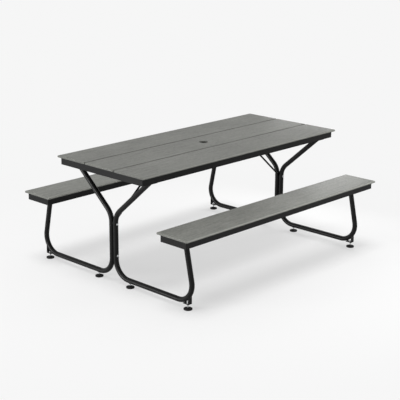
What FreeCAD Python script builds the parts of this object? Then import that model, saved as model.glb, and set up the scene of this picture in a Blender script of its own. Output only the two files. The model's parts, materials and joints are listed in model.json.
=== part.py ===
import FreeCAD, Part
import math
import os
import re
import Sketcher
from FreeCAD import Rotation, Vector

# Picnic table with two fixed benches on a bolted tube frame, in millimetres.
# +X runs along the planks, +Y across them to the back bench, +Z up; the origin is on the floor
# below the middle of the table.
dimensions = {
    # planks
    "table_length": 1800,
    "table_width": 770,
    "table_height": 755,
    "seat_length": 1800,
    "seat_width": 245,
    "seat_height": 460,
    "seat_gap": 100,
    "plank_thickness": 11,
    "plank_gap": 4,
    "plank_edge": 1.5,
    "umbrella_hole": 60,
    # rails and bearers under the planks
    "end_overhang": 14,
    "side_overhang": 23,
    "rail_height": 44,
    "rail_width": 20,
    "rail_wall": 1.5,
    "bearer_width": 80,
    "bearer_web": 40,
    "bearer_wall": 2,
    "centre_bearer_offset": 120,
    # bent leg tubes, drawn on their axes
    "frame_inset": 114,
    "tube_diameter": 32,
    "tube_wall": 1.5,
    "bend_radius": 110,
    "run_height": 44,
    "crotch_height": 433,
    "toe_reach": 79,
    "table_leg_inset": 69,
    "seat_leg_shift": 3.5,
    # plates between the tubes and the bearers
    "plate_length": 80,
    "plate_width": 70,
    "plate_thickness": 6,
    "plate_corner": 8,
    # brackets under the toe bends
    "bracket_setback": 39.5,
    "bracket_width": 30,
    "bracket_thickness": 3.5,
    "bracket_tab": 45,
    "bracket_tab_height": 35,
    "bracket_strap": 58,
    "weld_gap": 0.2,
    "cope_share": 0.52,
    "cope_length": 30,
    # diagonal braces
    "brace_diameter": 12.5,
    "brace_bolt_height": 379,
    "brace_run": 369,
    "brace_bearer_shift": 50,
    "brace_start": 28,
    "brace_tab_width": 20,
    "brace_tab_lap": 12,
    "brace_tab_thickness": 3,
    "brace_tab_clearance": 0.15,
    # levelling feet
    "foot_inner": 142,
    "foot_setback": 17,
    "pad_diameter": 52,
    "pad_height": 9,
    "stem_diameter": 8,
    "stem_top": 46,
    "stem_clearance": 0.3,
}
# sizes that follow from the ones above, each written once as an expression
derived = {
    "plank_pitch": "(table_width + plank_gap) / 3",
    "seat_centre": "table_width / 2 + seat_gap + seat_width / 2",
    "frame_offset": "min(table_length, seat_length) / 2 - frame_inset",
    "table_leg_offset": "table_width / 2 - table_leg_inset",
    "seat_leg_offset": "seat_centre + seat_leg_shift",
    "toe_offset": "seat_centre + toe_reach",
    "bracket_face": "toe_offset - bracket_setback",
    "bracket_tab_end": "bracket_face - bracket_tab",
    "foot_outer": "bracket_face - foot_setback",
    "brace_top_offset": "frame_offset - brace_run",
    "brace_bearer_offset": "brace_top_offset - brace_bearer_shift",
    "table_under": "table_height - plank_thickness",
    "seat_under": "seat_height - plank_thickness",
    "table_rail_end": "table_length / 2 - end_overhang",
    "seat_rail_end": "seat_length / 2 - end_overhang",
    "table_rail_side": "table_width / 2 - side_overhang",
    "seat_rail_side": "seat_width / 2 - side_overhang",
    "table_leg_top": "table_under - rail_height - plate_thickness",
    "seat_leg_top": "seat_under - rail_height - plate_thickness",
    "post_offset": "(tube_diameter + brace_tab_thickness) / 2 + brace_tab_clearance",
    "brace_tab_under": "table_under - rail_height - brace_tab_thickness",
}
# ruled strips round the crotch, heel and toe bends, by the bend's edge in a leg's axis
bend_strips = {2: 3, 4: 4, 6: 6}
toe_edge = max(bend_strips)
ends = {"left": -1, "right": 1}
sides = {"front": -1, "back": 1}

doc = FreeCAD.newDocument("picnic_table")
sheet = doc.addObject("Spreadsheet::Sheet", "sizes")
for row, (name, value) in enumerate(dimensions.items(), 1):
    sheet.set(f"A{row}", name)
    sheet.set(f"B{row}", str(value))
    sheet.setAlias(f"B{row}", name)
doc.recompute()


# an expression in plain names becomes one in cells, with the derived sizes written out; a name
# before a bracket is a function
def cells(text):
    def spell(match):
        name = match[0]
        return f"({cells(derived[name])})" if name in derived else f"sizes.{name}"

    return re.sub(r"[a-z_]+(?![a-z_(])", spell, text)


def signed(sign, text):
    return text if sign > 0 else f"-({text})"


def new_body(label):
    body = doc.addObject("PartDesign::Body", label)
    body.Label = label
    return body


def new_sketch(body, name, role):
    sketch = body.newObject("Sketcher::SketchObject", name)
    plane = next(f for f in body.Origin.OriginFeatures if f.Role == role)
    sketch.AttachmentSupport = [(plane, "")]
    sketch.MapMode = "FlatFace"
    return sketch


def constrain(sketch, kind, *targets):
    return sketch.addConstraint(Sketcher.Constraint(kind, *targets))


# a constraint with a value, which follows an expression
def bind(sketch, text, kind, *targets):
    index = constrain(sketch, kind, *targets)
    sketch.setExpression(f"Constraints[{index}]", cells(text))


# a closed outline with each corner given by two expressions
def draw_polygon(sketch, corners):
    count = len(corners)
    first = sketch.GeometryCount
    turns = [2 * math.pi * k / count for k in range(count)]
    ring = [Vector(math.cos(turn), math.sin(turn), 0) for turn in turns]
    for k in range(count):
        sketch.addGeometry(Part.LineSegment(ring[k], ring[(k + 1) % count]), False)
    for k in range(count):
        constrain(sketch, "Coincident", first + k, 2, first + (k + 1) % count, 1)
    for k, (across, up) in enumerate(corners):
        bind(sketch, across, "DistanceX", first + k, 1, ring[k].x)
        bind(sketch, up, "DistanceY", first + k, 1, ring[k].y)


def draw_rectangle(sketch, left, low, right, high):
    draw_polygon(sketch, [(left, low), (right, low), (right, high), (left, high)])


def draw_circle(sketch, across, up, radius):
    circle = sketch.addGeometry(Part.Circle(Vector(0, 0, 0), Vector(0, 0, 1), 1), False)
    bind(sketch, radius, "Radius", circle, 1)
    bind(sketch, across, "DistanceX", circle, 3, 0)
    bind(sketch, up, "DistanceY", circle, 3, 0)


# construction points, each given by two expressions; their solved places start a drawing
def draw_marks(sketch, places):
    for across, up in places:
        mark = sketch.addGeometry(Part.Point(Vector(1, 1, 0)), True)
        bind(sketch, across, "DistanceX", mark, 1, 1)
        bind(sketch, up, "DistanceY", mark, 1, 1)
    doc.recompute()
    return [sketch.getPoint(mark, 1) for mark in range(len(places))]


def add_feature(body, kind, name, profile, length, symmetric=False):
    feature = body.newObject("PartDesign::" + kind, name)
    feature.Profile = profile
    feature.SideType = "Symmetric" if symmetric else "One side"
    feature.setExpression("Length", cells(length))
    return feature


# a hole drilled upwards from the body's XY plane
def drill_up(body, name, across, along, radius, depth):
    ring = new_sketch(body, name + "_ring", "XY_Plane")
    draw_circle(ring, across, along, radius)
    hole = add_feature(body, "Pocket", name, ring, depth)
    hole.Reversed = True


# a circle about an axis, square to one of its edges at a share of the edge's length
def draw_section(body, name, axis, edge, share, radius):
    section = body.newObject("Sketcher::SketchObject", name)
    section.AttachmentSupport = [(axis, f"Edge{edge}")]
    section.MapMode = "NormalToEdge"
    section.setExpression("MapPathParameter", cells(share))
    draw_circle(section, "0", "0", radius)
    doc.recompute()
    return section


# a round bar along an axis: a pipe on each straight edge, ruled strips round each arc
def sweep_round(body, name, axis, radius):
    for edge in range(1, len(axis.Shape.Edges) + 1):
        stretch = f"{name}_{edge}"
        first = draw_section(body, stretch + "_start", axis, edge, "0", radius)
        strips = bend_strips.get(edge)
        if strips is None:
            run = body.newObject("PartDesign::AdditivePipe", stretch)
            run.Spine = (axis, [f"Edge{edge}"])
        else:
            run = body.newObject("PartDesign::AdditiveLoft", stretch)
            run.Ruled = True
            run.Sections = [
                draw_section(body, f"{stretch}_strip_{k}", axis, edge, f"{k} / {strips}", radius)
                for k in range(1, strips + 1)
            ]
        run.Profile = first
        doc.recompute()


# the body's place by expressions, and its turn about +Z in degrees
def place(body, across, along, up, turn=0):
    body.Placement = FreeCAD.Placement(Vector(), Rotation(Vector(0, 0, 1), turn))
    for axis, text in zip("xyz", (across, along, up)):
        body.setExpression(f"Placement.Base.{axis}", cells(text))


# a plank with its top edges broken; its underside is on the body's XY plane
def make_plank(label, length, width, along, up, hole=False):
    body = new_body(label)
    outline = new_sketch(body, "outline", "XY_Plane")
    draw_rectangle(
        outline, f"-{length} / 2", f"-({width}) / 2", f"{length} / 2", f"({width}) / 2"
    )
    board = add_feature(body, "Pad", "board", outline, "plank_thickness")
    doc.recompute()
    heights = [face.CenterOfMass.z for face in board.Shape.Faces]
    edges = body.newObject("PartDesign::Chamfer", "broken_edges")
    edges.Base = (board, [f"Face{heights.index(max(heights)) + 1}"])
    edges.setExpression("Size", cells("plank_edge"))
    if hole:
        drill_up(body, "umbrella_hole", "0", "0", "umbrella_hole / 2", "plank_thickness")
    place(body, "0", along, up)


# a hollow bar mitred at both ends; its outer side is on the body's XZ plane
def make_rail(label, half_length, across, along, up, turn):
    body = new_body(label)
    outline = new_sketch(body, "outline", "XY_Plane")
    draw_polygon(
        outline,
        [
            (f"-{half_length}", "0"),
            (half_length, "0"),
            (f"{half_length} - rail_width", "rail_width"),
            (f"rail_width - {half_length}", "rail_width"),
        ],
    )
    add_feature(body, "Pad", "bar", outline, "rail_height", symmetric=True)
    inside = new_sketch(body, "inside", "XY_Plane")
    far_wall = "rail_width - rail_wall"
    draw_rectangle(inside, f"-{half_length}", "rail_wall", half_length, far_wall)
    inside_height = "rail_height - 2 * rail_wall"
    add_feature(body, "Pocket", "hollow", inside, inside_height, symmetric=True)
    place(body, across, along, up, turn)


# four rails mitred to a frame under a table top or seat
def make_rail_frame(name, half_length, half_width, along, top):
    middle = f"{top} - rail_height / 2"
    for side, sign in sides.items():
        reach = f"{along} + {signed(sign, half_width)}"
        make_rail(f"{name}_rail_{side}", half_length, "0", reach, middle, 90 + 90 * sign)
    for end, sign in ends.items():
        reach = signed(sign, half_length)
        make_rail(f"{name}_rail_{end}", half_width, reach, along, middle, 90 * sign)


# a hat section between two rails, with its web on top and its flanges at the bottom
def make_bearer(label, half_width, across, along, top):
    body = new_body(label)
    outline = new_sketch(body, "hat", "XZ_Plane")
    outer = [
        ("bearer_width / 2", "0"),
        ("bearer_width / 2", "bearer_wall"),
        ("bearer_web / 2", "bearer_wall"),
        ("bearer_web / 2", "rail_height"),
    ]
    inner = [
        ("bearer_web / 2 - bearer_wall", "rail_height - bearer_wall"),
        ("bearer_web / 2 - bearer_wall", "0"),
    ]
    outer_left = [(f"-({across})", up) for across, up in outer[::-1]]
    inner_left = [(f"-({across})", up) for across, up in inner[::-1]]
    draw_polygon(outline, outer + outer_left + inner_left + inner)
    length = f"2 * ({half_width} - rail_width)"
    add_feature(body, "Pad", "bearer", outline, length, symmetric=True)
    place(body, across, along, f"{top} - rail_height")


# The axis of a leg tube, from the table plate over the crotch, heel and toe to the seat plate.
# Four straight stretches pass through five marks, and three tangent arcs of the bend radius
# round the corners between them.
def draw_leg_axis(body):
    axis = new_sketch(body, "axis", "YZ_Plane")
    marks = draw_marks(
        axis,
        [
            ("table_leg_offset", "table_leg_top"),
            ("post_offset", "crotch_height"),
            ("post_offset", "run_height"),
            ("toe_offset", "run_height"),
            ("seat_leg_offset", "seat_leg_top"),
        ],
    )
    radius = float(sheet.bend_radius)
    starts, stops, crowns = [marks[0]], [], []
    for before, corner, after in zip(marks, marks[1:], marks[2:]):
        back = (before - corner).normalize()
        onward = (after - corner).normalize()
        half = math.acos(back.dot(onward)) / 2
        stops.append(corner + back * (radius / math.tan(half)))
        starts.append(corner + onward * (radius / math.tan(half)))
        crowns.append(corner + (back + onward).normalize() * (radius / math.sin(half) - radius))
    stops.append(marks[4])

    lines = []
    for mark, (start, stop) in enumerate(zip(starts, stops)):
        lines.append(axis.addGeometry(Part.LineSegment(start, stop), False))
        constrain(axis, "PointOnObject", mark, 1, lines[mark])
        constrain(axis, "PointOnObject", mark + 1, 1, lines[mark])
    for bend, crown in enumerate(crowns):
        arc = axis.addGeometry(Part.Arc(stops[bend], crown, starts[bend + 1]), False)
        forward = axis.getPoint(arc, 1).distanceToPoint(stops[bend]) < 1
        constrain(axis, "Tangent", lines[bend], 2, arc, 1 if forward else 2)
        constrain(axis, "Tangent", lines[bend + 1], 1, arc, 2 if forward else 1)
        bind(axis, "bend_radius", "Radius", arc, radius)
    bind(axis, "table_leg_top + tube_diameter", "DistanceY", lines[0], 1, marks[0].y)
    bind(axis, "seat_leg_top + tube_diameter", "DistanceY", lines[3], 2, marks[4].y)
    doc.recompute()
    return axis


# one bent tube, closed by its plates, cut level under them and drilled for its inner foot
def make_leg(label, across, turn):
    body = new_body(label)
    axis = draw_leg_axis(body)
    sweep_round(body, "tube", axis, "tube_diameter / 2")
    for end in ("table_leg", "seat_leg"):
        waste = new_sketch(body, end + "_waste", "YZ_Plane")
        low = f"{end}_top"
        left = f"{end}_offset - 3 * tube_diameter"
        right = f"{end}_offset + 3 * tube_diameter"
        draw_rectangle(waste, left, low, right, f"{low} + 2 * tube_diameter")
        add_feature(body, "Pocket", end + "_cut", waste, "2 * tube_diameter", symmetric=True)
    radius = "stem_diameter / 2 + stem_clearance"
    depth = "run_height + tube_diameter / 2 - tube_wall"
    drill_up(body, "foot_hole", "0", "foot_inner", radius, depth)
    place(body, across, "0", "0", turn)


# a flat plate with cut corners; its underside is on the body's XY plane
def make_plate(label, across, along, up):
    body = new_body(label)
    outline = new_sketch(body, "outline", "XY_Plane")
    corner = [
        ("plate_length / 2", "plate_width / 2 - plate_corner"),
        ("plate_length / 2 - plate_corner", "plate_width / 2"),
    ]
    back_left = [(f"-({x})", y) for x, y in corner[::-1]]
    front_left = [(f"-({x})", f"-({y})") for x, y in corner]
    front_right = [(x, f"-({y})") for x, y in corner[::-1]]
    draw_polygon(outline, corner + back_left + front_left + front_right)
    add_feature(body, "Pad", "plate", outline, "plate_thickness")
    place(body, across, along, up)


# a bent strap under the toe bend, coped to the tube and drilled for the outer foot
def make_bracket(label, across, turn):
    body = new_body(label)
    outline = new_sketch(body, "strap", "YZ_Plane")
    face, low = "bracket_face", "bracket_tab_height"
    inner_face, tab_top = f"{face} - bracket_thickness", f"{low} + bracket_thickness"
    draw_polygon(
        outline,
        [
            ("bracket_tab_end", low),
            (face, low),
            (face, f"{low} + bracket_strap"),
            (inner_face, f"{low} + bracket_strap"),
            (inner_face, tab_top),
            ("bracket_tab_end", tab_top),
        ],
    )
    add_feature(body, "Pad", "bent_strap", outline, "bracket_width", symmetric=True)
    axis = draw_leg_axis(body)
    gap = "tube_diameter / 2 + weld_gap"
    section = draw_section(body, "cope_section", axis, toe_edge, "cope_share", gap)
    add_feature(body, "Pocket", "cope", section, "cope_length", symmetric=True)
    radius = "stem_diameter / 2 + stem_clearance"
    drill_up(body, "foot_hole", "0", "foot_outer", radius, f"{tab_top} + bracket_thickness")
    place(body, across, "0", "0", turn)


# a round rod from between the posts up to the brace bearer, with a flat tab at each end
def make_brace(label, turn):
    body = new_body(label)
    line_ends = [
        ("frame_offset", "brace_bolt_height"),
        ("brace_top_offset", "brace_tab_under - brace_diameter / 4"),
    ]
    axis = new_sketch(body, "axis", "XZ_Plane")
    bolt, top = draw_marks(axis, line_ends)
    reach = (top - bolt).normalize()
    rod = axis.addGeometry(Part.LineSegment(bolt + reach * float(sheet.brace_start), top), False)
    constrain(axis, "PointOnObject", 0, 1, rod)
    constrain(axis, "Coincident", 1, 1, rod, 2)
    bind(axis, "brace_start", "Distance", 0, 1, rod, 1, float(sheet.brace_start))
    doc.recompute()
    sweep_round(body, "rod", axis, "brace_diameter / 2")

    # the lower tab is a bar about the same line, from past the bolt to a lap inside the rod
    flat = new_sketch(body, "post_tab_outline", "XZ_Plane")
    draw_marks(flat, line_ends)
    width = float(sheet.brace_tab_width)
    lap_end = float(sheet.brace_start) + float(sheet.brace_tab_lap)
    centre = flat.addGeometry(
        Part.LineSegment(bolt - reach * (width / 2), bolt + reach * lap_end), True
    )
    constrain(flat, "PointOnObject", 0, 1, centre)
    constrain(flat, "PointOnObject", 1, 1, centre)
    bind(flat, "brace_tab_width / 2", "Distance", 0, 1, centre, 1, width / 2)
    bind(flat, "brace_start + brace_tab_lap", "Distance", 0, 1, centre, 2, lap_end)
    aside = Vector(-reach.y, reach.x, 0) * (width / 2)
    near, far = flat.getPoint(centre, 1), flat.getPoint(centre, 2)
    corners = [near + aside, near - aside, far - aside, far + aside]
    first = flat.GeometryCount
    for k in range(4):
        flat.addGeometry(Part.LineSegment(corners[k], corners[(k + 1) % 4]), False)
    for k in range(4):
        constrain(flat, "Coincident", first + k, 2, first + (k + 1) % 4, 1)
    constrain(flat, "Symmetric", first, 1, first, 2, centre, 1)
    constrain(flat, "Symmetric", first + 2, 1, first + 2, 2, centre, 2)
    constrain(flat, "Perpendicular", first, centre)
    constrain(flat, "Perpendicular", first + 2, centre)
    constrain(flat, "Equal", first, first + 2)
    bind(flat, "brace_tab_width", "Distance", first, width)
    add_feature(body, "Pad", "post_tab", flat, "brace_tab_thickness", symmetric=True)

    flange = new_sketch(body, "bearer_tab_outline", "XZ_Plane")
    draw_rectangle(
        flange,
        "brace_bearer_offset + bearer_web / 2 + bearer_wall",
        "brace_tab_under",
        "brace_top_offset + brace_diameter",
        "brace_tab_under + brace_tab_thickness",
    )
    add_feature(body, "Pad", "bearer_tab", flange, "brace_tab_width", symmetric=True)
    place(body, "0", "0", "0", turn)


# a levelling foot: a round pad turned in one with its stem
def make_foot(label, across, along):
    body = new_body(label)
    outline = new_sketch(body, "outline", "XZ_Plane")
    draw_polygon(
        outline,
        [
            ("0", "0"),
            ("pad_diameter / 2", "0"),
            ("pad_diameter / 2", "pad_height"),
            ("stem_diameter / 2", "pad_height"),
            ("stem_diameter / 2", "stem_top"),
            ("0", "stem_top"),
        ],
    )
    turned = body.newObject("PartDesign::Revolution", "turned_foot")
    turned.Profile = outline
    turned.ReferenceAxis = (outline, ["V_Axis"])
    turned.Angle = 360
    place(body, across, along, "0")


# table top and its frame
for name, step in (("front", -1), ("middle", 0), ("back", 1)):
    make_plank(
        f"table_plank_{name}",
        "table_length",
        "plank_pitch - plank_gap",
        f"{step} * plank_pitch",
        "table_under",
        hole=name == "middle",
    )
make_rail_frame("table", "table_rail_end", "table_rail_side", "0", "table_under")
bearer_places = {
    "end": "frame_offset",
    "brace": "brace_bearer_offset",
    "centre": "centre_bearer_offset",
}
for end, sign in ends.items():
    for name, offset in bearer_places.items():
        across = signed(sign, offset)
        make_bearer(f"table_bearer_{end}_{name}", "table_rail_side", across, "0", "table_under")

# seats and their frames
for side, sign in sides.items():
    along = signed(sign, "seat_centre")
    make_plank(f"seat_{side}_plank", "seat_length", "seat_width", along, "seat_under")
    make_rail_frame(f"seat_{side}", "seat_rail_end", "seat_rail_side", along, "seat_under")
    for end, end_sign in ends.items():
        across = signed(end_sign, "frame_offset")
        make_bearer(f"seat_{side}_bearer_{end}", "seat_rail_side", across, along, "seat_under")

# end frames with their plates, brackets, braces and feet
for end, end_sign in ends.items():
    across = signed(end_sign, "frame_offset")
    make_brace(f"brace_{end}", 90 - 90 * end_sign)
    for side, sign in sides.items():
        corner = f"{end}_{side}"
        turn = 90 - 90 * sign
        make_leg(f"leg_{corner}", across, turn)
        make_bracket(f"foot_bracket_{corner}", across, turn)
        table_along = signed(sign, "table_leg_offset")
        seat_along = signed(sign, "seat_leg_offset")
        make_plate(f"table_plate_{corner}", across, table_along, "table_leg_top")
        make_plate(f"seat_plate_{corner}", across, seat_along, "seat_leg_top")
        for reach in ("inner", "outer"):
            make_foot(f"foot_{corner}_{reach}", across, signed(sign, f"foot_{reach}"))

doc.recompute()

for item in doc.Objects:
    if "Invalid" in item.State or "Error" in item.State:
        raise RuntimeError(f"{item.Label} did not build: {item.State}")
bodies = [item for item in doc.Objects if item.isDerivedFrom("PartDesign::Body")]
for body in bodies:
    if body.Shape.isNull() or not body.Shape.isValid() or len(body.Shape.Solids) != 1:
        raise RuntimeError(f"{body.Label} is not one valid solid")
os.makedirs("parts", exist_ok=True)
for body in bodies:
    body.Shape.exportStep(f"parts/{body.Label}.step")
print(len(bodies), "parts written")
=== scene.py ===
import json
import math
import bpy
import numpy as np
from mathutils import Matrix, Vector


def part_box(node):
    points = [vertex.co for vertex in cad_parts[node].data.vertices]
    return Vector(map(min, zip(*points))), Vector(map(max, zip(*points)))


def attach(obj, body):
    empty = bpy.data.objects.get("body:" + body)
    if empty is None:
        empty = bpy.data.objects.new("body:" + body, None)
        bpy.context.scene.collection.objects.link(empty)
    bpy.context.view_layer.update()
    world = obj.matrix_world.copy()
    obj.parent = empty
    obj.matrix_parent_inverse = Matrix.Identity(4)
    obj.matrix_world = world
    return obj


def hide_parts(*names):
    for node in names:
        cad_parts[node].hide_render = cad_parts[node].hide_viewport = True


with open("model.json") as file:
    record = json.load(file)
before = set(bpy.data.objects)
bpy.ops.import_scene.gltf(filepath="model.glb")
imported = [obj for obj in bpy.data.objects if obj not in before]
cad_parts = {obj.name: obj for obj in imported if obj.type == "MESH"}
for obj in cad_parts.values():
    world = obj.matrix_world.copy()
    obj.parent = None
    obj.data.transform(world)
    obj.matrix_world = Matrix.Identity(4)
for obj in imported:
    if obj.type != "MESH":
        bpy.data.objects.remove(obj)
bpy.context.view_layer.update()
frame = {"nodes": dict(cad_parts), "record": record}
nodes = frame["nodes"]
ends = ("left", "right")
sides = ("front", "back")
alongX, alongY, alongZ = np.eye(3)
print("frame loaded,", len(nodes), "nodes")


# corners and middle of a CAD node's box, in metres
def lowOf(node):
    return np.array(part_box(node)[0])


def highOf(node):
    return np.array(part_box(node)[1])


def middleOf(node):
    return (lowOf(node) + highOf(node)) / 2


# a socket of a shader tree; arithmetic on it adds Math nodes
class Wire:
    def __init__(self, tree, socket=None):
        self.tree = tree
        self.socket = socket

    # any node: its settings first, then values or links for its sockets; gives back one output
    def node(self, kind, settings, inputs, output=0):
        made = self.tree.nodes.new("ShaderNode" + kind)
        for name, value in settings.items():
            setattr(made, name, value)
        for name, value in inputs.items():
            if isinstance(value, Wire):
                self.tree.links.new(value.socket, made.inputs[name])
            else:
                made.inputs[name].default_value = value
        return Wire(self.tree, made.outputs[output]) if made.outputs else None

    def math(self, operation, first, second=0.0):
        return self.node("Math", {"operation": operation}, {0: first, 1: second})

    def __add__(self, other):
        return self.math("ADD", self, other)

    __radd__ = __add__

    def __sub__(self, other):
        return self.math("SUBTRACT", self, other)

    def __rsub__(self, other):
        return self.math("SUBTRACT", other, self)

    def __mul__(self, other):
        return self.math("MULTIPLY", self, other)

    __rmul__ = __mul__

    def __abs__(self):
        return self.math("ABSOLUTE", self)

    def largerOf(self, other):
        return self.math("MAXIMUM", self, other)

    # 0 below low and 1 above high, with a smooth rise between
    def rise(self, low, high):
        spans = {"Value": self, "From Min": low, "From Max": high}
        return self.node("MapRange", {"interpolation_type": "SMOOTHSTEP"}, spans)

    # coordinates stretched along each axis, then shifted
    def mapped(self, shift, stretch):
        return self.node("Mapping", {}, {"Vector": self, "Location": shift, "Scale": stretch})

    # a soft random pattern; a larger size gives finer marks
    def noise(self, size, detail, roughness, distortion=0.0):
        sockets = {"Vector": self, "Scale": size, "Detail": detail, "Roughness": roughness}
        return self.node("TexNoise", {}, {**sockets, "Distortion": distortion})

    # a colour between two, with this value as the share of the second
    def blend(self, first, second):
        return self.node("Mix", {"data_type": "RGBA"}, {0: self, 6: first, 7: second}, 2)


# a new material with its coordinates; the shader's fixed sockets are set straight away
def startFinish(name, fixed):
    material = bpy.data.materials.new(name)
    material.use_nodes = True
    tree = material.node_tree
    shader = tree.nodes["Principled BSDF"]
    for socket, value in fixed.items():
        shader.inputs[socket].default_value = value
    return material, Wire(tree).node("TexCoord", {}, {}, "Object")


# links what varies over the surface: colour, roughness, and a height in metres through a Bump node
def endFinish(material, tint, rough, height):
    tree = material.node_tree
    shader = tree.nodes["Principled BSDF"]
    bump = height.node("Bump", {}, {"Height": height, "Strength": 1.0, "Distance": 1.0})
    for name, wire in {"Base Color": tint, "Roughness": rough, "Normal": bump}.items():
        tree.links.new(wire.socket, shader.inputs[name])
    return material


# a near grey: its green level, and how far red and blue stand off it
def grey(level, red=1.0, blue=1.0):
    return (level * red, level, level * blue, 1.0)


# Grey moulded plank with a pressed wood grain along X: fine pores, faint rings and short flecks. Its outer
# long borders are paler, partly rubbed wear and partly a painted edge highlight; its ends, the low part of
# its sides and the grooves between planks are darker, painted shade with some dirt. Seats are a little paler,
# partly their own tone and partly painted light. Tones are linear. Lengths, widths and sizes of grain, rings
# and flecks scale the pattern, so larger is finer; the other widths and depths are in metres.
plankLook = {"deep": 0.085, "pale": 0.225, "red": 0.985, "blue": 0.915, "seatToneAndLight": 1.20, "contrast": 2.3,
             "gloss": 0.25, "roughness": 0.46, "grainRoughness": 0.2, "shadeAndSoilRoughness": 0.2,
             "grainLength": 1.6, "grainWidth": 60.0, "grainDepth": 0.0007, "poreSize": 3.0, "poreShare": 0.30,
             "ringLength": 0.56, "ringWidth": 9.0, "ringSize": 1.3, "ringCount": 70.0, "ringShare": 0.08,
             "fleckLength": 30.0, "fleckSize": 1.7, "fleckShare": 0.62, "cloudSize": 3.5, "cloudShare": 0.5,
             "rubAndHighlight": 0.34, "rubAndHighlightWidth": 0.006, "rubAndHighlightShare": 0.85,
             "shadeAndSoil": 0.045, "shadeAndSoilFrom": 0.0054, "shadeAndSoilDepth": 0.009, "shadeAndSoilShare": 0.7,
             "endWidth": 0.004, "endShare": 0.7, "grooveShadeShare": 0.6, "patternShift": 7.3}

# long sides that face the next plank: -1 is the front side, 1 the back side
grooveSides = {"table_plank_front": (1,), "table_plank_middle": (-1, 1), "table_plank_back": (-1,)}


def plankFinish(node):
    look = plankLook
    low, high = lowOf(node), highOf(node)
    half = (high - low) / 2
    # seats are paler, partly their own tone and partly painted light
    shade = look["seatToneAndLight"] if node.startswith("seat") else 1.0
    material, place = startFinish("grained_" + node, {"Specular IOR Level": look["gloss"]})

    def tone(level):
        return grey(level * shade, look["red"], look["blue"])

    # grain, from another place in the pattern on each plank
    def stretched(length, width):
        return place.mapped(tuple((low + high) * look["patternShift"]), (length, width, width))

    pores = stretched(look["grainLength"], look["grainWidth"]).noise(look["poreSize"], 5.0, 0.65, 0.3)
    waves = stretched(look["ringLength"], look["ringWidth"]).noise(look["ringSize"], 1.0, 0.5)
    rings = waves.math("SINE", waves * look["ringCount"]) * 0.5 + 0.5
    flecks = stretched(look["fleckLength"], look["grainWidth"]).noise(look["fleckSize"], 4.0, 0.7, 0.6)
    grain = pores * look["poreShare"] + rings * look["ringShare"] + flecks * look["fleckShare"]
    cloud = place.noise(look["cloudSize"], 3.0, 0.5)
    share = (grain - 0.5) * look["contrast"] + cloud * look["cloudShare"] + (1 - look["cloudShare"]) / 2
    body = share.blend(tone(look["deep"]), tone(look["pale"]))

    # painted shade with some dirt, and rubbed wear with a painted highlight, by the distance to the ends, the
    # top and the long sides
    centred = place.mapped(tuple(-(low + high) / 2), (1, 1, 1))
    x, y, z = (centred.node("SeparateXYZ", {}, {0: centred}, axis) for axis in "XYZ")
    # painted shade with some dirt over the ends, low on the sides and along the grooves
    endShade = (1 - (half[0] - abs(x)).rise(0.0, look["endWidth"])) * look["endShare"]
    shadeAndSoil = endShade.largerOf((half[2] - z).rise(look["shadeAndSoilFrom"], look["shadeAndSoilDepth"]))
    for side in (-1, 1):
        near = 1 - (half[1] - side * y).rise(0.0, look["rubAndHighlightWidth"])
        if side in grooveSides.get(node, ()):
            shadeAndSoil = shadeAndSoil.largerOf(near * look["grooveShadeShare"])
        else:
            # paler outer border: rubbed wear and a painted edge highlight
            body = (near * look["rubAndHighlightShare"]).blend(body, tone(look["rubAndHighlight"]))
    # the dark tone of the painted shade and dirt
    tint = (shadeAndSoil * look["shadeAndSoilShare"]).blend(body, tone(look["shadeAndSoil"]))
    rough = look["roughness"] + grain * look["grainRoughness"] + shadeAndSoil * look["shadeAndSoilRoughness"]
    return endFinish(material, tint, rough, grain * look["grainDepth"])


# black powder coat: fine orange peel, a faint uneven gloss and sparse paler specks
coatLook = {"deep": 0.004, "pale": 0.008, "gloss": 0.11, "roughness": 0.31,
            "patchSize": 6.0, "patchRoughness": 0.10, "peelSize": 520.0, "peelDepth": 0.00005,
            "peelRoughness": 0.05, "speck": 0.020, "speckSize": 1400.0, "speckShare": 0.25}


def coatFinish():
    look = coatLook
    material, place = startFinish("black_powder_coat", {"Specular IOR Level": look["gloss"]})
    peel = place.noise(look["peelSize"], 2.0, 0.5)
    patch = place.noise(look["patchSize"], 4.0, 0.6)
    specks = place.noise(look["speckSize"], 1.0, 0.5).rise(0.62, 0.72)
    body = patch.blend(grey(look["deep"]), grey(look["pale"]))
    tint = (specks * look["speckShare"]).blend(body, grey(look["speck"]))
    rough = look["roughness"] + patch * look["patchRoughness"] + peel * look["peelRoughness"]
    return endFinish(material, tint, rough, peel * look["peelDepth"])


# bright zinc plate: pale metal with a soft mottle and fine turning marks
zincLook = {"deep": 0.36, "pale": 0.62, "mottleSize": 240.0, "mottleRoughness": 0.18, "roughness": 0.30,
            "markSize": 500.0, "markDepth": 0.00004}


def zincFinish():
    look = zincLook
    material, place = startFinish("bright_zinc", {"Metallic": 1.0})
    mottle = place.noise(look["mottleSize"], 3.0, 0.6)
    marks = place.mapped((0, 0, 0), (1, 1, 6)).noise(look["markSize"], 2.0, 0.5)
    tint = mottle.blend(grey(look["deep"], 0.98, 1.02), grey(look["pale"], 0.99, 1.01))
    rough = look["roughness"] + mottle * look["mottleRoughness"]
    return endFinish(material, tint, rough, marks * look["markDepth"])


# black moulded foot: dull, with a fine spark texture and paler scuffs near the floor
padLook = {"deep": 0.005, "pale": 0.012, "gloss": 0.15, "roughness": 0.62, "cloudSize": 60.0,
           "sparkSize": 900.0, "sparkDepth": 0.00012, "sparkRoughness": 0.2,
           "scuff": 0.045, "scuffHeight": 0.003, "scuffShare": 0.6}


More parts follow.
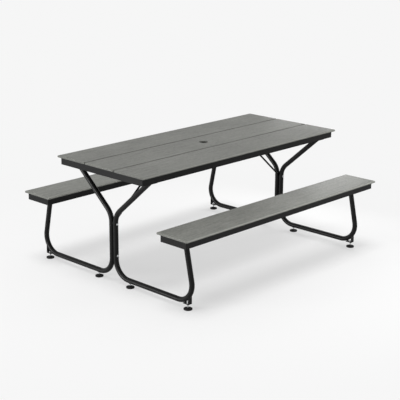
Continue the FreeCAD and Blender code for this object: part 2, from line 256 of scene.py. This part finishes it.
def padFinish():
    look = padLook
    material, place = startFinish("black_moulded_foot", {"Specular IOR Level": look["gloss"]})
    height = place.node("SeparateXYZ", {}, {0: place}, "Z")
    spark = place.noise(look["sparkSize"], 2.0, 0.6)
    cloud = place.noise(look["cloudSize"], 3.0, 0.6)
    scuff = (1 - height.rise(0.0, look["scuffHeight"])) * cloud.rise(0.45, 0.7)
    body = cloud.blend(grey(look["deep"]), grey(look["pale"]))
    tint = (scuff * look["scuffShare"]).blend(body, grey(look["scuff"]))
    rough = look["roughness"] + spark * look["sparkRoughness"]
    return endFinish(material, tint, rough, spark * look["sparkDepth"])


coat = coatFinish()
zinc = zincFinish()
padBlack = padFinish()


def paint(piece, material):
    piece.data.materials.clear()
    piece.data.materials.append(material)


for solid in nodes.values():
    paint(solid, coat)
print("CAD nodes painted")


# A grid of points as a closed shell: neighbouring rows and columns give quads, columns wrap round,
# and the end rows either wrap round too or are closed by one face each. Faces point outwards,
# which the sign of the volume under the quads tells.
def shell(points, ring=False):
    rows, columns = points.shape[:2]
    index = np.arange(rows * columns).reshape(rows, columns)
    index = np.hstack([index, index[:, :1]])
    if ring:
        index = np.vstack([index, index[:1]])
    corners = (index[:-1, :-1], index[:-1, 1:], index[1:, 1:], index[1:, :-1])
    quads = np.stack(corners, -1).reshape(-1, 4)
    flat = points.reshape(-1, 3)
    about = flat - flat.mean(0)
    a, b, c, d = (about[quads[:, k]] for k in range(4))
    volume = (np.cross(a, b) * c).sum() + (np.cross(a, c) * d).sum()
    lids = [] if ring else [index[0, -2::-1], index[-1, :-1]]
    if volume < 0:
        quads = quads[:, ::-1]
        lids = [lid[::-1] for lid in lids]
    return flat, quads.tolist() + [lid.tolist() for lid in lids]


# one shell repeated at many places, as one shell
def repeated(one, places):
    flat, faces = one
    many = (flat[None] + np.asarray(places)[:, None]).reshape(-1, 3)
    shifts = range(0, len(many), len(flat))
    return many, [[k + shift for k in face] for shift in shifts for face in faces]


creaseAngle = math.radians(35)   # edges sharper than this stay sharp


# a piece made of one or more shells, with its material and body
def addPiece(name, shells, material, body="frame"):
    starts = np.cumsum([0] + [len(flat) for flat, faces in shells])
    faces = [[k + int(s) for k in face] for s, one in zip(starts, shells) for face in one[1]]
    mesh = bpy.data.meshes.new(name)
    mesh.from_pydata(np.vstack([flat for flat, _ in shells]), [], faces)
    mesh.polygons.foreach_set("use_smooth", np.ones(len(mesh.polygons), bool))
    mesh.set_sharp_from_angle(angle=creaseAngle)
    piece = bpy.data.objects.new(name, mesh)
    bpy.context.scene.collection.objects.link(piece)
    paint(piece, material)
    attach(piece, body)
    return piece


# Moulded planks with rounded borders, as a stack of outlines from the underside to the top. A point of an
# outline is spot * (half size - inset - radius) + lean * radius: round a corner the lean turns and the
# spot stays, along a side the spot moves and the lean stays. Towards the top the inset grows by
# round * (1 - cos(t)) while the height grows by round * sin(t). Below is a small chamfer, and a narrow band
# beside each rounding keeps the broad faces flat.
plankForm = {"topRound": 0.0052, "cornerRadius": 0.0070, "leastRadius": 0.0002, "chamfer": 0.0008,
             "band": 0.0006, "umbrellaHole": 0.030, "holeRound": 0.0016, "longCount": 24, "shortCount": 4,
             "arcCount": 6, "roundSteps": 7}


# spots and leans of one outline, as complex numbers: each quarter is a corner's arc and the side after it
def outlineGuides(longCount, shortCount, arcCount):
    arc = np.exp(1j * np.linspace(0, math.pi / 2, arcCount))
    spots, leans = [], []
    for quarter, count in enumerate((longCount, shortCount) * 2):
        turn = 1j ** quarter
        corner = turn * (1 + 1j)
        share = np.linspace(0, 1, count + 2)[1:-1]
        spots += [np.full(arcCount, corner), corner * (1 - share) + corner * 1j * share]
        leans += [turn * arc, np.full(count, turn * 1j)]
    return np.concatenate(spots), np.concatenate(leans)


def addPlank(node, holeRadius=0.0):
    form = plankForm
    low, high = lowOf(node), highOf(node)
    halfX, halfY = (high - low)[:2] / 2
    thick = (high - low)[2]
    spot, lean = outlineGuides(form["longCount"], form["shortCount"], form["arcCount"])
    t = np.linspace(0, math.pi / 2, form["roundSteps"])
    r, under, band = form["topRound"], form["chamfer"], form["band"]
    inset = np.concatenate([[under + band, under, 0], r * (1 - np.cos(t)), [r + band]])[:, None]
    height = np.concatenate([[0, 0, under], thick - r + r * np.sin(t), [thick]])[:, None]
    radius = np.maximum(form["cornerRadius"] - inset, form["leastRadius"])
    x = spot.real * (halfX - inset - radius) + lean.real * radius
    y = spot.imag * (halfY - inset - radius) + lean.imag * radius
    rows = np.stack([x, y, np.broadcast_to(height, x.shape)], -1)
    if holeRadius:
        # circles down the hole's wall; like the outlines they start half a short side past +X
        h, back = form["holeRound"], t[::-1]
        wide = holeRadius + np.concatenate([[h + band], h * (1 - np.cos(back)), [0, under, under + band]])
        level = np.concatenate([[thick], thick - h + h * np.sin(back), [under, 0, 0]])
        turn = 2 * math.pi * (np.arange(len(spot)) + (form["shortCount"] + 1) / 2) / len(spot)
        rim = wide[:, None] * np.exp(1j * turn)
        well = np.stack([rim.real, rim.imag, np.broadcast_to(level[:, None], rim.shape)], -1)
        rows = np.concatenate([rows, well])
    base = np.array([*middleOf(node)[:2], low[2]])
    board = shell(rows + base, ring=bool(holeRadius))
    piece = addPiece("board_" + node, [board], plankFinish(node))
    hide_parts(node)


for node in [name for name in nodes if "plank" in name]:
    addPlank(node, plankForm["umbrellaHole"] if node == "table_plank_middle" else 0.0)
print("planks moulded")


# Straight runs between corners. At each corner an arc of the bend radius touches both runs:
# its centre lies on the corner's bisector, radius / sin(half angle) away, and the arc's points are
# centre + radius * (out * cos(t) + ahead * sin(t)). Gives rows of points and of unit tangents.
def bentPath(corners, bendRadius, arcSteps):
    runs = np.diff(corners, axis=0)
    runs = runs / np.linalg.norm(runs, axis=1)[:, None]
    points, tangents = [corners[:1]], [runs[:1]]
    for corner, ahead, onward in zip(corners[1:-1], runs, runs[1:]):
        half = math.acos(-ahead @ onward) / 2
        inward = (onward - ahead) / np.linalg.norm(onward - ahead)
        centre = corner + inward * bendRadius / math.sin(half)
        out = (corner - ahead * bendRadius / math.tan(half) - centre) / bendRadius
        t = np.linspace(0, math.pi - 2 * half, arcSteps)[:, None]
        points.append(centre + bendRadius * (out * np.cos(t) + ahead * np.sin(t)))
        tangents.append(ahead * np.cos(t) - out * np.sin(t))
    points.append(corners[-1:])
    tangents.append(runs[-1:])
    return np.vstack(points), np.vstack(tangents)


# A profile carried along a flat path: point (a, b) of the profile becomes
# path + a * sideways + b * normal, with the normal square to the tangent and to sideways.
def carried(path, tangents, sideways, across, up):
    normal = np.cross(tangents, sideways)
    return path[:, None] + across[..., None] * sideways + up[..., None] * normal[:, None]


# one ring of a tube slid along the tube until every point is at the given height
def cutLevel(ring, tangent, height):
    return ring + ((height - ring[:, 2]) / tangent[2])[:, None] * tangent


# A weld bead round a closed seam: a small circle about each point of the seam, whose radius
# swells and shrinks with the beads' ripples.
weldForm = {"radius": 0.0026, "ripple": 0.16, "ripples": 34, "columns": 10, "drop": 0.0008}


def weldBead(seam):
    form = weldForm
    out = seam - seam.mean(0)
    out = out / np.linalg.norm(out, axis=1)[:, None]
    around = np.linspace(0, 2 * math.pi, len(seam), endpoint=False)
    turn = np.linspace(0, 2 * math.pi, form["columns"], endpoint=False)
    radius = form["radius"] * (1 + form["ripple"] * np.cos(form["ripples"] * around))
    ring = np.cos(turn)[None, :, None] * out[:, None] + np.sin(turn)[None, :, None] * alongZ
    return shell(seam[:, None] + radius[:, None, None] * ring, ring=True)


# Bent leg tubes, welded to their plates: a circle carried along straight runs and bends, from the table
# plate down the post, along the floor and up to the seat plate.
legForm = {"bendRadius": 0.110, "crotchHeight": 0.433, "toeReach": 0.6865, "columns": 40,
           "arcSteps": 26, "seamPoints": 136}


def addLeg(corner):
    form = legForm
    node = "leg_" + corner
    low, high = lowOf(node), highOf(node)
    sign = math.copysign(1, (low + high)[1])
    radius = (high[0] - low[0]) / 2
    plates = (lowOf("table_plate_" + corner)[2], lowOf("seat_plate_" + corner)[2])
    runHeight = low[2] + radius
    postReach = min(abs(low[1]), abs(high[1])) + radius
    marks = np.array([
        (middleOf("table_plate_" + corner)[1] * sign, plates[0]),
        (postReach, form["crotchHeight"]),
        (postReach, runHeight),
        (form["toeReach"], runHeight),
        (middleOf("seat_plate_" + corner)[1] * sign, plates[1]),
    ])
    across = np.full(len(marks), middleOf(node)[0])
    corners = np.column_stack([across, sign * marks[:, 0], marks[:, 1]])
    path, tangents = bentPath(corners, form["bendRadius"], form["arcSteps"])

    def rings(rows, count):
        turn = np.linspace(0, 2 * math.pi, count, endpoint=False)[None]
        return carried(path[rows], tangents[rows], alongX, radius * np.cos(turn), radius * np.sin(turn))

    tube = rings(slice(None), form["columns"])
    seams = rings([0, -1], form["seamPoints"])
    beads = []
    for row, height in zip((0, -1), plates):
        tube[row] = cutLevel(tube[row], tangents[row], height)
        beads.append(weldBead(cutLevel(seams[row], tangents[row], height - weldForm["drop"])))
    piece = addPiece("tube_" + corner, [shell(tube)] + beads, coat)
    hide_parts(node)


for end in ends:
    for side in sides:
        addLeg(f"{end}_{side}")
print("leg tubes swept")


# Diagonal brace: a round rod whose ends are pressed flat, the lower one between the posts and the upper one
# under the bearer. Its section is a superellipse: at angle t it is half the width * cos(t) to a power and
# half the height * sin(t) to the same power, signs kept. The halves ease from flat to round to flat, and
# the power from 2 / (2 + squareness) to 1 and back. The nose is a half circle.
braceForm = {"boltHeight": 0.379, "rod": 0.00625, "flatHalf": 0.010, "thinHalf": 0.0015, "squareness": 6,
             "lowerFlat": 0.026, "upperFlat": 0.036, "ease": 0.030, "lowerZone": 0.076, "upperZone": 0.11,
             "kneeReach": 0.030, "bendRadius": 0.020, "leastNose": 0.004, "boltInset": 0.010,
             "arcSteps": 14, "noseSteps": 9, "lowerSteps": 30, "upperSteps": 44, "columns": 32}


# 0 up to 0 and 1 from 1 on, with a smooth rise between: 3 s squared - 2 s cubed
def eased(s):
    s = np.clip(s, 0, 1)
    return s ** 2 * (3 - 2 * s)


def addBrace(end):
    form = braceForm
    node = "brace_" + end
    low, high = lowOf(node), highOf(node)
    sign = math.copysign(1, (low + high)[0])
    flat, thin, rod = form["flatHalf"], form["thinHalf"], form["rod"]
    bolt = np.array([abs(middleOf("leg_" + end + "_front")[0]), form["boltHeight"]])
    level = high[2] - thin
    inner = min(abs(low[0]), abs(high[0]))
    knee = np.array([inner + form["kneeReach"], level])
    ahead = (knee - bolt) / np.linalg.norm(knee - bolt)
    marks = np.array([bolt - flat * ahead, knee, (inner, level)])
    corners = np.column_stack([sign * marks[:, 0], np.zeros(len(marks)), marks[:, 1]])
    bent, bentTangents = bentPath(corners, form["bendRadius"], form["arcSteps"])

    # rows where the section changes, by their distance along the path
    steps = np.concatenate([[0], np.cumsum(np.linalg.norm(np.diff(bent, axis=0), axis=1))])
    total = steps[-1]
    spots = np.unique(np.concatenate([
        flat * (1 - np.cos(np.linspace(0, math.pi / 2, form["noseSteps"]))),
        np.linspace(flat, form["lowerZone"], form["lowerSteps"]),
        np.linspace(total - form["upperZone"], total, form["upperSteps"]),
    ]))
    path = np.column_stack([np.interp(spots, steps, one) for one in bent.T])
    tangents = np.column_stack([np.interp(spots, steps, one) for one in bentTangents.T])
    tangents = tangents / np.linalg.norm(tangents, axis=1)[:, None]

    lower = 1 - eased((spots - form["lowerFlat"]) / form["ease"])
    upper = eased((spots - (total - form["upperFlat"] - form["ease"])) / form["ease"])
    wide = rod + (thin - rod) * lower + (flat - rod) * upper
    tall = rod + (flat - rod) * lower + (thin - rod) * upper
    nose = np.clip(spots / flat, 0, 1)
    tall = tall * np.sqrt(np.clip(1 - (1 - nose) ** 2, form["leastNose"], 1))
    power = 2 / (2 + form["squareness"] * np.maximum(lower, upper))[:, None]
    turn = np.linspace(0, 2 * math.pi, form["columns"], endpoint=False)[None]
    across = wide[:, None] * np.sign(np.cos(turn)) * np.abs(np.cos(turn)) ** power
    up = tall[:, None] * np.sign(np.sin(turn)) * np.abs(np.sin(turn)) ** power
    piece = addPiece("rod_" + end, [shell(carried(path, tangents, alongY, across, up))], coat)
    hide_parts(node)


for end in ends:
    addBrace(end)
print("braces swept")


# A turned shape about +Z: each (radius, height) of the outline goes round in a circle.
def turned(outline, columns):
    outline = np.asarray(outline)
    turn = np.linspace(0, 2 * math.pi, columns, endpoint=False)
    rims = outline[:, :1] * np.exp(1j * turn)[None]
    heights = np.broadcast_to(outline[:, 1:], rims.shape)
    return np.stack([rims.real, rims.imag, heights], -1)


# Levelling feet: a moulded pad with a rounded rim and a round hub, on a threaded stem. Up the hub its radius
# eases with one power of the share of the way and its height with another. At each height and turn the stem's
# radius falls from its crests to its roots by a triangle wave of height / pitch - turns, and the thread runs
# out at the top.
footForm = {"padHeight": 0.009, "rimRound": 0.0022, "rimSteps": 6, "heel": 0.0012, "padColumns": 64,
            "hubRadius": 0.0125, "hubTop": 0.0068, "hubRise": 0.0060, "radiusPower": 0.6, "risePower": 1.4,
            "hubSteps": 7, "stemRadius": 0.004, "stemSunk": 0.001, "pitch": 0.00125, "threadDepth": 0.0006,
            "runOut": 0.0012, "leastThread": 0.35, "stepsPerPitch": 6, "stemColumns": 24}


def addPad(node, body, centre, padRadius):
    form = footForm
    bow = np.linspace(0, math.pi / 2, form["rimSteps"])
    rim = np.column_stack([padRadius - form["rimRound"] * (1 - np.cos(bow)),
                           form["padHeight"] - form["rimRound"] * (1 - np.sin(bow))])
    heel = [(padRadius - form["heel"], 0), (padRadius, form["heel"])]
    way = np.linspace(0, 1, form["hubSteps"])
    narrowing = (form["hubTop"] - form["hubRadius"]) * way ** form["radiusPower"]
    hub = np.column_stack([form["hubRadius"] + narrowing,
                           form["padHeight"] + form["hubRise"] * way ** form["risePower"]])
    grid = turned(np.vstack([heel, rim, hub]), form["padColumns"]) + centre
    pad = addPiece("pad_" + node, [shell(grid)], padBlack, body)
    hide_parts(node)


def addStem(node, body, centre, top):
    form = footForm
    start = form["padHeight"] + form["hubRise"] - form["stemSunk"]
    rows = int((top - start) / form["pitch"] * form["stepsPerPitch"])
    height = np.linspace(start, top, rows)[:, None]
    turn = np.linspace(0, 2 * math.pi, form["stemColumns"], endpoint=False)[None]
    crest = abs(((height / form["pitch"] - turn / (2 * math.pi)) % 1) * 2 - 1)   # 1 on a crest, 0 in a root
    taper = np.clip((top - height) / form["runOut"], form["leastThread"], 1)
    radius = form["stemRadius"] - form["threadDepth"] * (1 - crest * taper)
    spread = radius * np.exp(1j * turn)
    thread = np.stack([spread.real, spread.imag, np.broadcast_to(height, radius.shape)], -1)
    addPiece("stem_" + node, [shell(thread + centre)], zinc, body)


for body, members in frame["record"]["behaviour"]["bodies"].items():
    for node in members:
        if node.startswith("foot_") and "bracket" not in node:
            low, high = lowOf(node), highOf(node)
            centre = np.array([*middleOf(node)[:2], low[2]])
            addPad(node, body, centre, (high[0] - low[0]) / 2)
            addStem(node, body, centre, high[2] - low[2])
print("feet turned")


# hexagon heads on round washers: plateReach is from a plate's middle to its bolts, and tabThick is the
# bracket's tab under a foot nut
boltForm = {"flats": 0.013, "height": 0.0053, "chamfer": 0.6, "cone": 1.06, "coneSteps": 5, "columns": 48,
            "washer": 0.0085, "washerThick": 0.0016, "washerEdge": 0.0003, "washerColumns": 40,
            "plateReach": 0.030, "tabThick": 0.0035}


# A hexagon about +Z between two heights with turned-off corners: at angle t its radius is
# half the width over the flats / cos(t within its sixth), but never more than the chamfer's cone,
# which comes in a little past the flats.
def hexagon(form, low, high):
    turn = np.linspace(0, 2 * math.pi, form["columns"], endpoint=False)
    sixth = (turn + math.pi / 6) % (math.pi / 3) - math.pi / 6
    inner = form["flats"] / 2
    outer = inner / math.cos(math.pi / 6)
    share = np.linspace(0, 1, form["coneSteps"])
    heights = np.concatenate([[low], high - share[::-1] * (outer - inner) * form["chamfer"]])
    limit = np.concatenate([[outer], outer - share * (outer - inner) * form["cone"]])
    radius = np.minimum(inner / np.cos(sixth)[None], limit[:, None])
    spread = radius * np.exp(1j * turn)[None]
    return np.stack([spread.real, spread.imag, np.broadcast_to(heights[:, None], radius.shape)], -1)


# a washer and a hexagon on it, standing on the origin along +Z
def headOnWasher():
    form = boltForm
    radius, thick, edge = form["washer"], form["washerThick"], form["washerEdge"]
    disc = [(radius - edge, 0), (radius, edge), (radius, thick - edge), (radius - edge, thick)]
    return [turned(disc, form["washerColumns"]), hexagon(form, thick, thick + form["height"])]


# A low round head, turned: at each share of the way in from its rim to its socket the height is
# rim + rise * root(1 - (1 - share) squared), a quarter ellipse, and then it drops to the socket's floor.
def roundHead(form):
    share = np.linspace(0, 1, form["crownSteps"])
    crown = np.column_stack([form["head"] - (form["head"] - form["socket"]) * share,
                             form["rim"] + form["rise"] * np.sqrt(1 - (1 - share) ** 2)])
    well = (form["socket"] * form["socketTaper"], form["socketFloor"])
    return turned(np.vstack([[(form["head"], 0)], crown, [well]]), form["columns"])


# the same shape with its own +Z laid along another axis
def aimed(points, axis):
    aside = alongY if abs(axis[1]) < 0.5 else alongX
    first = np.cross(aside, axis)
    return points @ np.array([first / np.linalg.norm(first), np.cross(axis, first), axis])


def boltShells(grids, axis, places):
    return [repeated(shell(aimed(grid, axis)), places) for grid in grids]


# two bolts to a plate, from below
platePlaces = []
for node in nodes:
    if "_plate_" in node:
        low, middle = lowOf(node), middleOf(node)
        reaches = (-boltForm["plateReach"], boltForm["plateReach"])
        platePlaces += [(middle[0] + reach, middle[1], low[2]) for reach in reaches]
addPiece("plate_bolts", boltShells(headOnWasher(), -alongZ, platePlaces), zinc)

# bolts through each pair of posts: a low round head with a socket in front, a coated sleeve nut behind
postForm = {"heights": (0.379, 0.177), "sink": 0.0006, "head": 0.0070, "rim": 0.0004, "rise": 0.0030,
            "socket": 0.0026, "socketTaper": 0.96, "socketFloor": 0.0014, "crownSteps": 7, "columns": 32}
headPlaces, nutPlaces = [], []
for end in ends:
    post = "leg_" + end + "_front"
    tubeWidth = highOf(post)[0] - lowOf(post)[0]
    reach = abs(highOf(post)[1]) + tubeWidth - postForm["sink"]
    headPlaces += [(middleOf(post)[0], -reach, height) for height in postForm["heights"]]
    nutPlaces += [(middleOf(post)[0], reach, height) for height in postForm["heights"]]
addPiece("post_bolts", boltShells([roundHead(postForm)], -alongY, headPlaces), zinc)
addPiece("post_nuts", boltShells([roundHead(postForm)], alongY, nutPlaces), coat)

# screws up through the top of each bearer's channel, two to a plank: half their spacing is a share of the
# plank's width
screwForm = {"sheet": 0.002, "spread": 0.25, "head": 0.0046, "rim": 0.0004, "rise": 0.0024,
             "socket": 0.0017, "socketTaper": 0.96, "socketFloor": 0.0012, "crownSteps": 7, "columns": 16}
screwPlaces = []
for node in nodes:
    if "_bearer_" in node:
        x, z = middleOf(node)[0], highOf(node)[2] - screwForm["sheet"]
        for plank in nodes:
            if "_plank" in plank and plank.split("_plank")[0] == node.split("_bearer")[0]:
                spread = (highOf(plank) - lowOf(plank))[1] * screwForm["spread"]
                screwPlaces += [(x, middleOf(plank)[1] + reach, z) for reach in (-spread, spread)]
addPiece("plank_screws", boltShells([roundHead(screwForm)], -alongZ, screwPlaces), zinc)

# a bolt under each brace's upper flat
bracePlaces = []
for end in ends:
    low, high = lowOf("brace_" + end), highOf("brace_" + end)
    reach = min(abs(low[0]), abs(high[0])) + braceForm["boltInset"]
    bracePlaces.append((math.copysign(reach, (low + high)[0]), 0, high[2] - 2 * braceForm["thinHalf"]))
addPiece("brace_bolts", boltShells(headOnWasher(), -alongZ, bracePlaces), zinc)

# locking nuts of the feet: under each tube, and on top of each bracket's tab
innerPlaces, outerPlaces = [], []
for end in ends:
    for side in sides:
        corner = f"{end}_{side}"
        inner, outer = middleOf(f"foot_{corner}_inner"), middleOf(f"foot_{corner}_outer")
        innerPlaces.append((*inner[:2], lowOf("leg_" + corner)[2]))
        outerPlaces.append((*outer[:2], lowOf("foot_bracket_" + corner)[2] + boltForm["tabThick"]))
nuts = boltShells(headOnWasher(), -alongZ, innerPlaces) + boltShells(headOnWasher(), alongZ, outerPlaces)
addPiece("foot_nuts", nuts, zinc)
print("fasteners set")


# pale floor: it takes shadows, and the camera sees part of its brightness as plain backdrop,
# near the table a share of it and far away all of it
stageLook = {"floorSize": 80.0, "floorTint": 0.875, "backdrop": 0.921, "plainShare": 0.57,
             "fadeFrom": 1.2, "fadeTo": 2.8}


# 1 for the rays that see the backdrop: straight from the camera, mirrored or through glass
def backdropRays(start):
    kinds = ("Is Camera Ray", "Is Glossy Ray", "Is Transmission Ray")
    direct, mirrored, through = (start.node("LightPath", {}, {}, kind) for kind in kinds)
    return direct.largerOf(mirrored.largerOf(through))


def addFloor():
    look = stageLook
    half = look["floorSize"] / 2
    mesh = bpy.data.meshes.new("floor")
    corners = [(-half, -half, 0), (half, -half, 0), (half, half, 0), (-half, half, 0)]
    mesh.from_pydata(corners, [], [(0, 1, 2, 3)])
    floor = bpy.data.objects.new("floor", mesh)
    bpy.context.scene.collection.objects.link(floor)
    material = bpy.data.materials.new("pale_floor")
    material.use_nodes = True
    tree = material.node_tree
    tree.nodes.clear()
    start = Wire(tree)
    matt = start.node("BsdfDiffuse", {}, {"Color": grey(look["floorTint"])})
    plain = start.node("Emission", {}, {"Color": grey(look["backdrop"])})
    spot = start.node("TexCoord", {}, {}, "Object")
    reach = spot.node("VectorMath", {"operation": "LENGTH"}, {0: spot}, "Value")
    far = reach.rise(look["fadeFrom"], look["fadeTo"])
    share = backdropRays(start) * (look["plainShare"] + far * (1 - look["plainShare"]))
    both = start.node("MixShader", {}, {0: share, 1: matt, 2: plain})
    start.node("OutputMaterial", {}, {"Surface": both})
    paint(floor, material)


addFloor()

# a sky that is darker in front, a wide overhead sun, and three softboxes aimed at the table: a far low one
# behind on the left, a weak one in front on the right, and a small one close to the table's right end
lightLook = {"skyFront": 0.18, "skyBack": 0.66, "skyTurn": 0.6, "sun": 1.63, "sunSpread": 26.0,
             "sunTilt": (0.0, -7.0), "aimHeight": 0.5,
             "farPlace": (-8.4, 3.6, 0.9), "farSize": (3.0, 1.6), "farPower": 800.0,
             "frontPlace": (0.8, -2.3, 1.5), "frontSize": (1.6, 1.0), "frontPower": 12.0,
             "closePlace": (1.45, 0.20, 0.74), "closeSize": (0.8, 0.30), "closePower": 4.2}


def addSky():
    look = lightLook
    world = bpy.data.worlds.new("studio")
    bpy.context.scene.world = world
    world.use_nodes = True
    tree = world.node_tree
    tree.nodes.clear()
    start = Wire(tree)
    aim = start.node("TexCoord", {}, {}, "Generated")
    back = aim.node("SeparateXYZ", {}, {0: aim}, "Y").rise(-look["skyTurn"], look["skyTurn"])
    level = look["skyFront"] + back * (look["skyBack"] - look["skyFront"])
    light = start.node("Background", {}, {"Color": grey(1.0), "Strength": level})
    shown = start.node("Background", {}, {"Color": grey(stageLook["backdrop"]), "Strength": 1.0})
    both = start.node("MixShader", {}, {0: backdropRays(start), 1: light, 2: shown})
    start.node("OutputWorld", {}, {"Surface": both})


def addSun():
    look = lightLook
    data = bpy.data.lights.new("overhead", "SUN")
    data.energy = look["sun"]
    data.angle = math.radians(look["sunSpread"])
    lamp = bpy.data.objects.new("overhead", data)
    bpy.context.scene.collection.objects.link(lamp)
    lamp.rotation_euler = (*np.radians(look["sunTilt"]), 0)


def addSoftbox(name):
    look = lightLook
    x, y, z = look[name + "Place"]
    data = bpy.data.lights.new(name + "_softbox", "AREA")
    data.shape = "RECTANGLE"
    data.size, data.size_y = look[name + "Size"]
    data.energy = look[name + "Power"]
    lamp = bpy.data.objects.new(name + "_softbox", data)
    bpy.context.scene.collection.objects.link(lamp)
    lamp.location = (x, y, z)
    lamp.rotation_euler = (math.atan2(math.hypot(x, y), z - look["aimHeight"]), 0, math.atan2(x, -y))
    lamp.visible_camera = False


addSky()
addSun()
for name in ("far", "front", "close"):
    addSoftbox(name)

# camera: place in metres, heading and dip in degrees, focal length, image centre and image size in pixels
cameraForm = {"place": (-4.835, -4.558, 2.312), "heading": -45.01, "dip": 15.95, "focal": 1053.1,
              "centre": (173.3, 192.5), "frame": 400, "farLimit": 200.0}


def addCamera():
    form = cameraForm
    data = bpy.data.cameras.new("camera")
    data.lens = form["focal"] / form["frame"] * data.sensor_width
    data.shift_x = (form["frame"] / 2 - form["centre"][0]) / form["frame"]
    data.shift_y = (form["centre"][1] - form["frame"] / 2) / form["frame"]
    data.clip_end = form["farLimit"]
    camera = bpy.data.objects.new("camera", data)
    bpy.context.scene.collection.objects.link(camera)
    camera.location = form["place"]
    camera.rotation_euler = (math.radians(90 - form["dip"]), 0, math.radians(form["heading"]))
    bpy.context.scene.camera = camera


addCamera()
bpy.context.scene.view_settings.view_transform = "Standard"
print("stage, lights and camera set")

print("scene ready")
